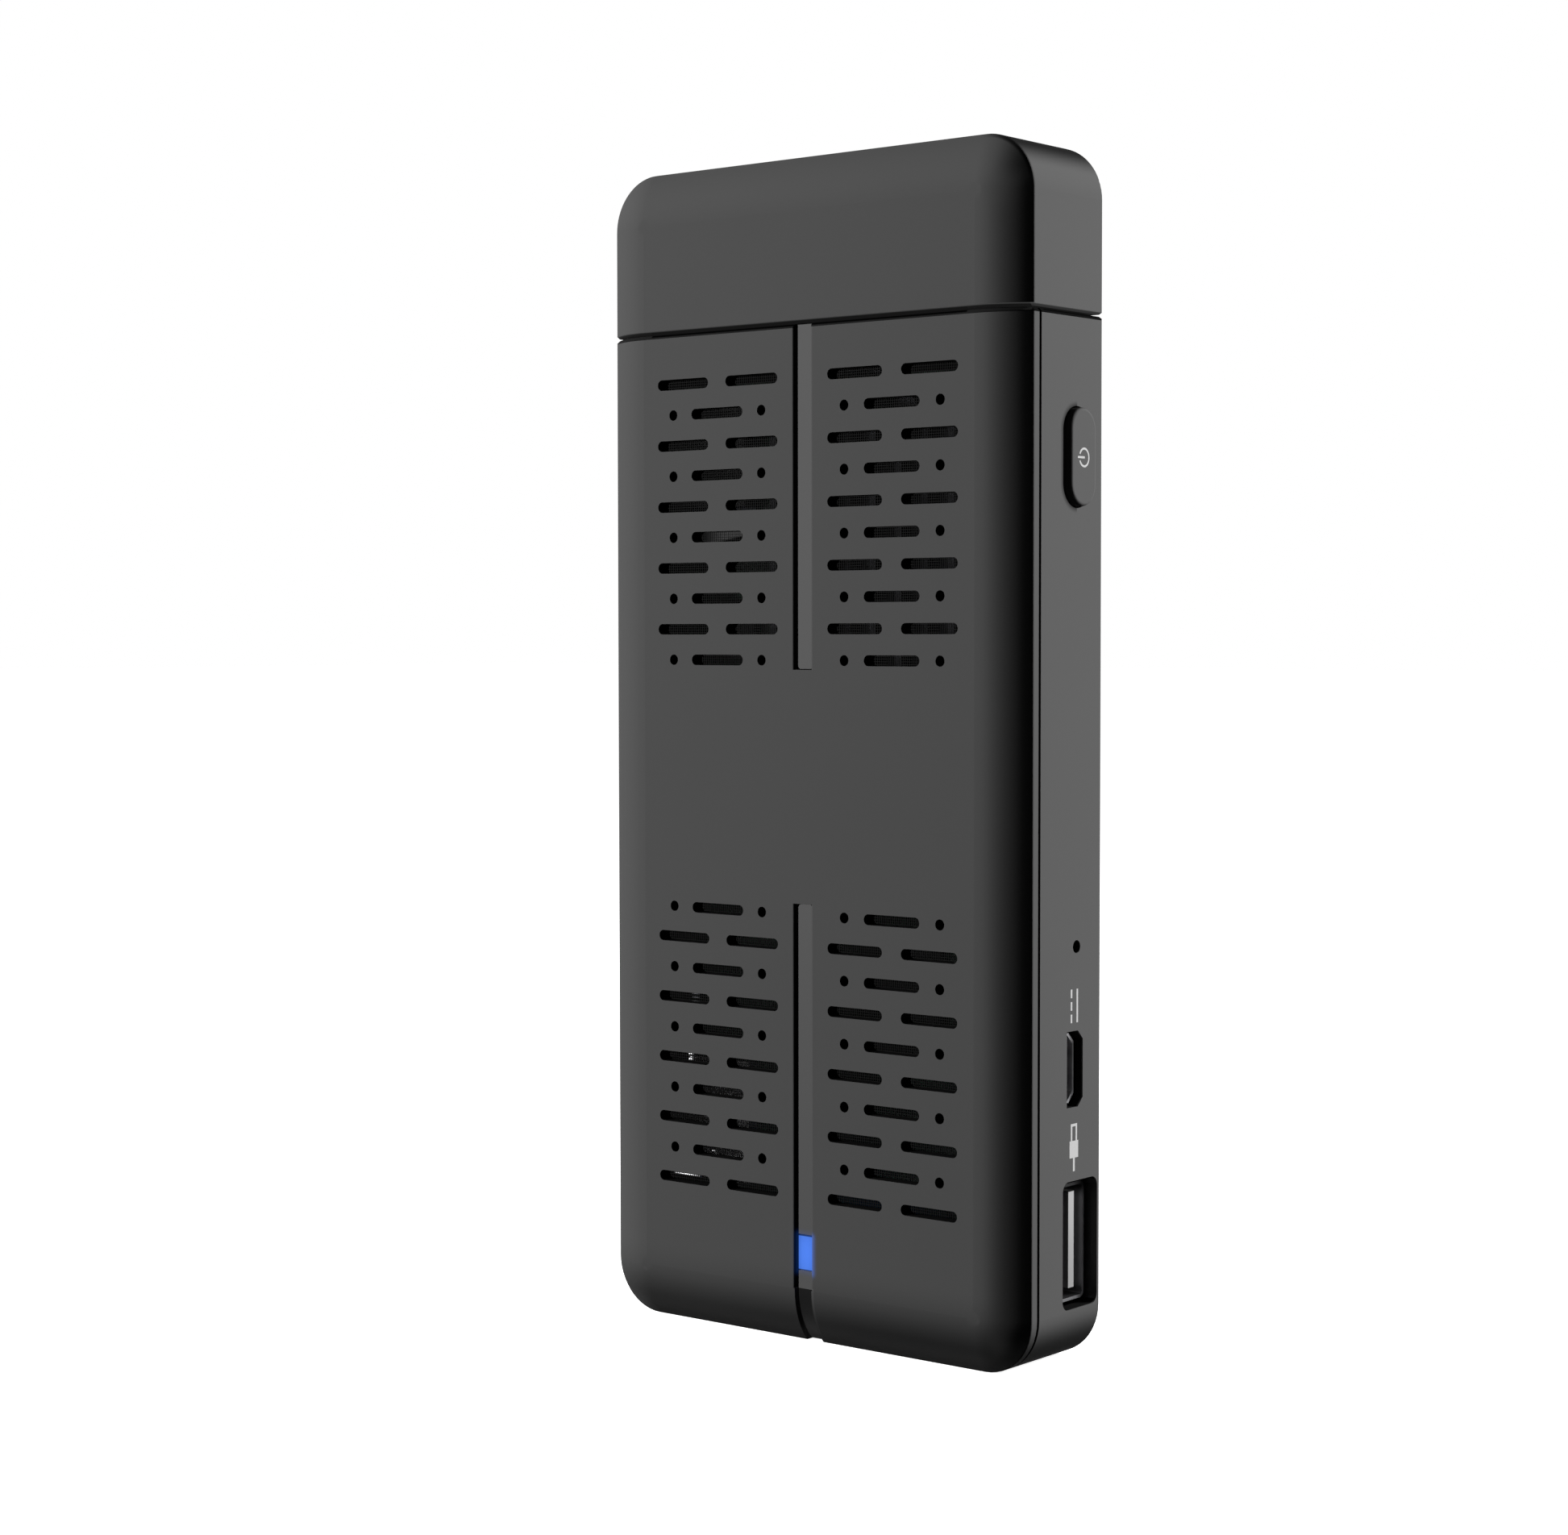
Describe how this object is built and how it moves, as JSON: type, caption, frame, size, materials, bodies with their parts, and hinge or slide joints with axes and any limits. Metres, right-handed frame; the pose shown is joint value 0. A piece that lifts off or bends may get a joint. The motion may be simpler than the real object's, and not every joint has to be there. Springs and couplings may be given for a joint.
{
  "type": "hdmi stick computer",
  "caption": "Upright stick computer: slim vented plastic case with a lit centre strip, a pull-off cap over an HDMI plug, and a power button, power socket and USB-A socket on one side",
  "frame": {"origin": "middle of the flat bottom end, halfway between front and back", "axes": "+Z along the stick from its bottom end to the plug, +X to the side with the ports, +Y from the vented front to the plain back"},
  "size_m": [0.0614, 0.0156, 0.1356],
  "materials": {
    "case": "fine matte grain",
    "strip": "satin inlay",
    "strip_foot": "smooth dark",
    "window": "lit translucent blue",
    "screen": "fine woven screen",
    "board": "solder mask",
    "screw": "plated",
    "chip": "moulded resin",
    "pad": "soft matte",
    "sink": "dark anodised",
    "ceramic": "ceramic",
    "can": "tin plated",
    "radio_board": "solder mask",
    "antenna": "flexible film",
    "lead": "grey sheath",
    "gold": "gold plated",
    "led": "clear epoxy",
    "plunger": "moulded",
    "shell": "nickel plated",
    "insert": "moulded",
    "tongue": "moulded pale grey"
  },
  "bodies": {
    "case": {"front_cover": "case", "rear_cover": "case", "end_plate": "case", "upper_strip": "strip", "lower_strip": "strip", "foot_strip": "strip_foot", "led_window": "window", "upper_mesh": "screen", "lower_mesh": "screen", "main_board": "board", "board_screws": "screw", "processor": "chip", "thermal_pad": "pad", "heat_sink": "sink", "memory_chips": "chip", "storage_chip": "chip", "power_chip": "chip", "inductors": "chip", "capacitors": "ceramic", "crystal": "can", "wireless_module": "radio_board", "wireless_shield": "can", "antenna": "antenna", "antenna_plug": "gold", "antenna_lead": "lead", "status_led": "led", "power_switch": "chip", "reset_switch": "chip", "hdmi_shell": "shell", "hdmi_insert": "insert", "hdmi_contacts": "gold", "usb_shell": "shell", "usb_tongue": "tongue", "usb_contacts": "gold", "micro_usb_shell": "shell", "micro_usb_tongue": "insert", "micro_usb_contacts": "gold", "card_socket": "can"},
    "cap": {"cap": "case"},
    "power_button": {"power_button": "case", "power_plunger": "plunger"},
    "reset_plunger": {"reset_plunger": "plunger"}
  },
  "joints": [
    {"name": "cap_pull", "type": "slide", "parent": "case", "child": "cap", "axis": [0, 0, 1], "range_m": [0, 0.03]},
    {"name": "power_press", "type": "slide", "parent": "case", "child": "power_button", "axis": [-1, 0, 0], "range_m": [0, 0.0005], "stiffness_N_per_m": 3000},
    {"name": "reset_press", "type": "slide", "parent": "case", "child": "reset_plunger", "axis": [-1, 0, 0], "range_m": [0, 0.00025], "stiffness_N_per_m": 4000}
  ]
}
